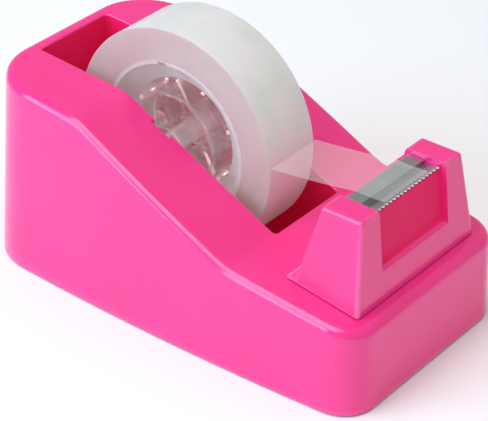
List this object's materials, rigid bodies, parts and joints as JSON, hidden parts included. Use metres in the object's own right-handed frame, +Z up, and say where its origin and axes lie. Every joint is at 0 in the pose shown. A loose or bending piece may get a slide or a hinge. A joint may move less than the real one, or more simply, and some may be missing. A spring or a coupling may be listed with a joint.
{
  "type": "tape dispenser",
  "caption": "Weighted desk tape dispenser: a sloped plastic body with an open tape well, a toothed blade on a raised head, and a tape roll on a clear hub whose axle pin drops into two slots.",
  "frame": {"origin": "middle of the underside, on the surface the dispenser stands on", "axes": "+X to the blade end, +Y across to the left side as seen from behind, +Z up"},
  "size_m": [0.1262, 0.0716, 0.0732],
  "materials": {
    "pink_plastic": "glossy injection-moulded pink",
    "blade_steel": "plain rolled strip, lightly brushed",
    "base_plastic": "matte dark",
    "ballast": "rough cast",
    "pad_foam": "fine-celled foam rubber",
    "screw_steel": "zinc plated",
    "clear_plastic": "clear moulded",
    "core_plastic": "frosted translucent",
    "tape": "satin translucent windings",
    "tape_film": "clear film"
  },
  "bodies": {
    "stand": {"body_shell": "pink_plastic", "cutter_head": "pink_plastic", "serrated_blade": "blade_steel", "base_plate": "base_plastic", "ballast_block": "ballast", "nonslip_pad": "pad_foam", "base_screw_1": "screw_steel", "base_screw_2": "screw_steel", "base_screw_3": "screw_steel", "base_screw_4": "screw_steel", "head_screw_1": "screw_steel", "head_screw_2": "screw_steel", "tape_strip": "tape_film"},
    "axle": {"axle_pin": "clear_plastic"},
    "spool": {"hub_near_half": "clear_plastic", "hub_far_half": "clear_plastic", "tape_core": "core_plastic", "tape_roll": "tape"}
  },
  "joints": [
    {"name": "spool_lift", "type": "slide", "parent": "stand", "child": "axle", "axis": [0, 0, 1], "range_m": [0, 0.05]},
    {"name": "spool_spin", "type": "hinge", "parent": "axle", "child": "spool", "pos_m": [-0.01425, 0, 0.0415], "axis": [0, 1, 0], "continuous": true}
  ]
}
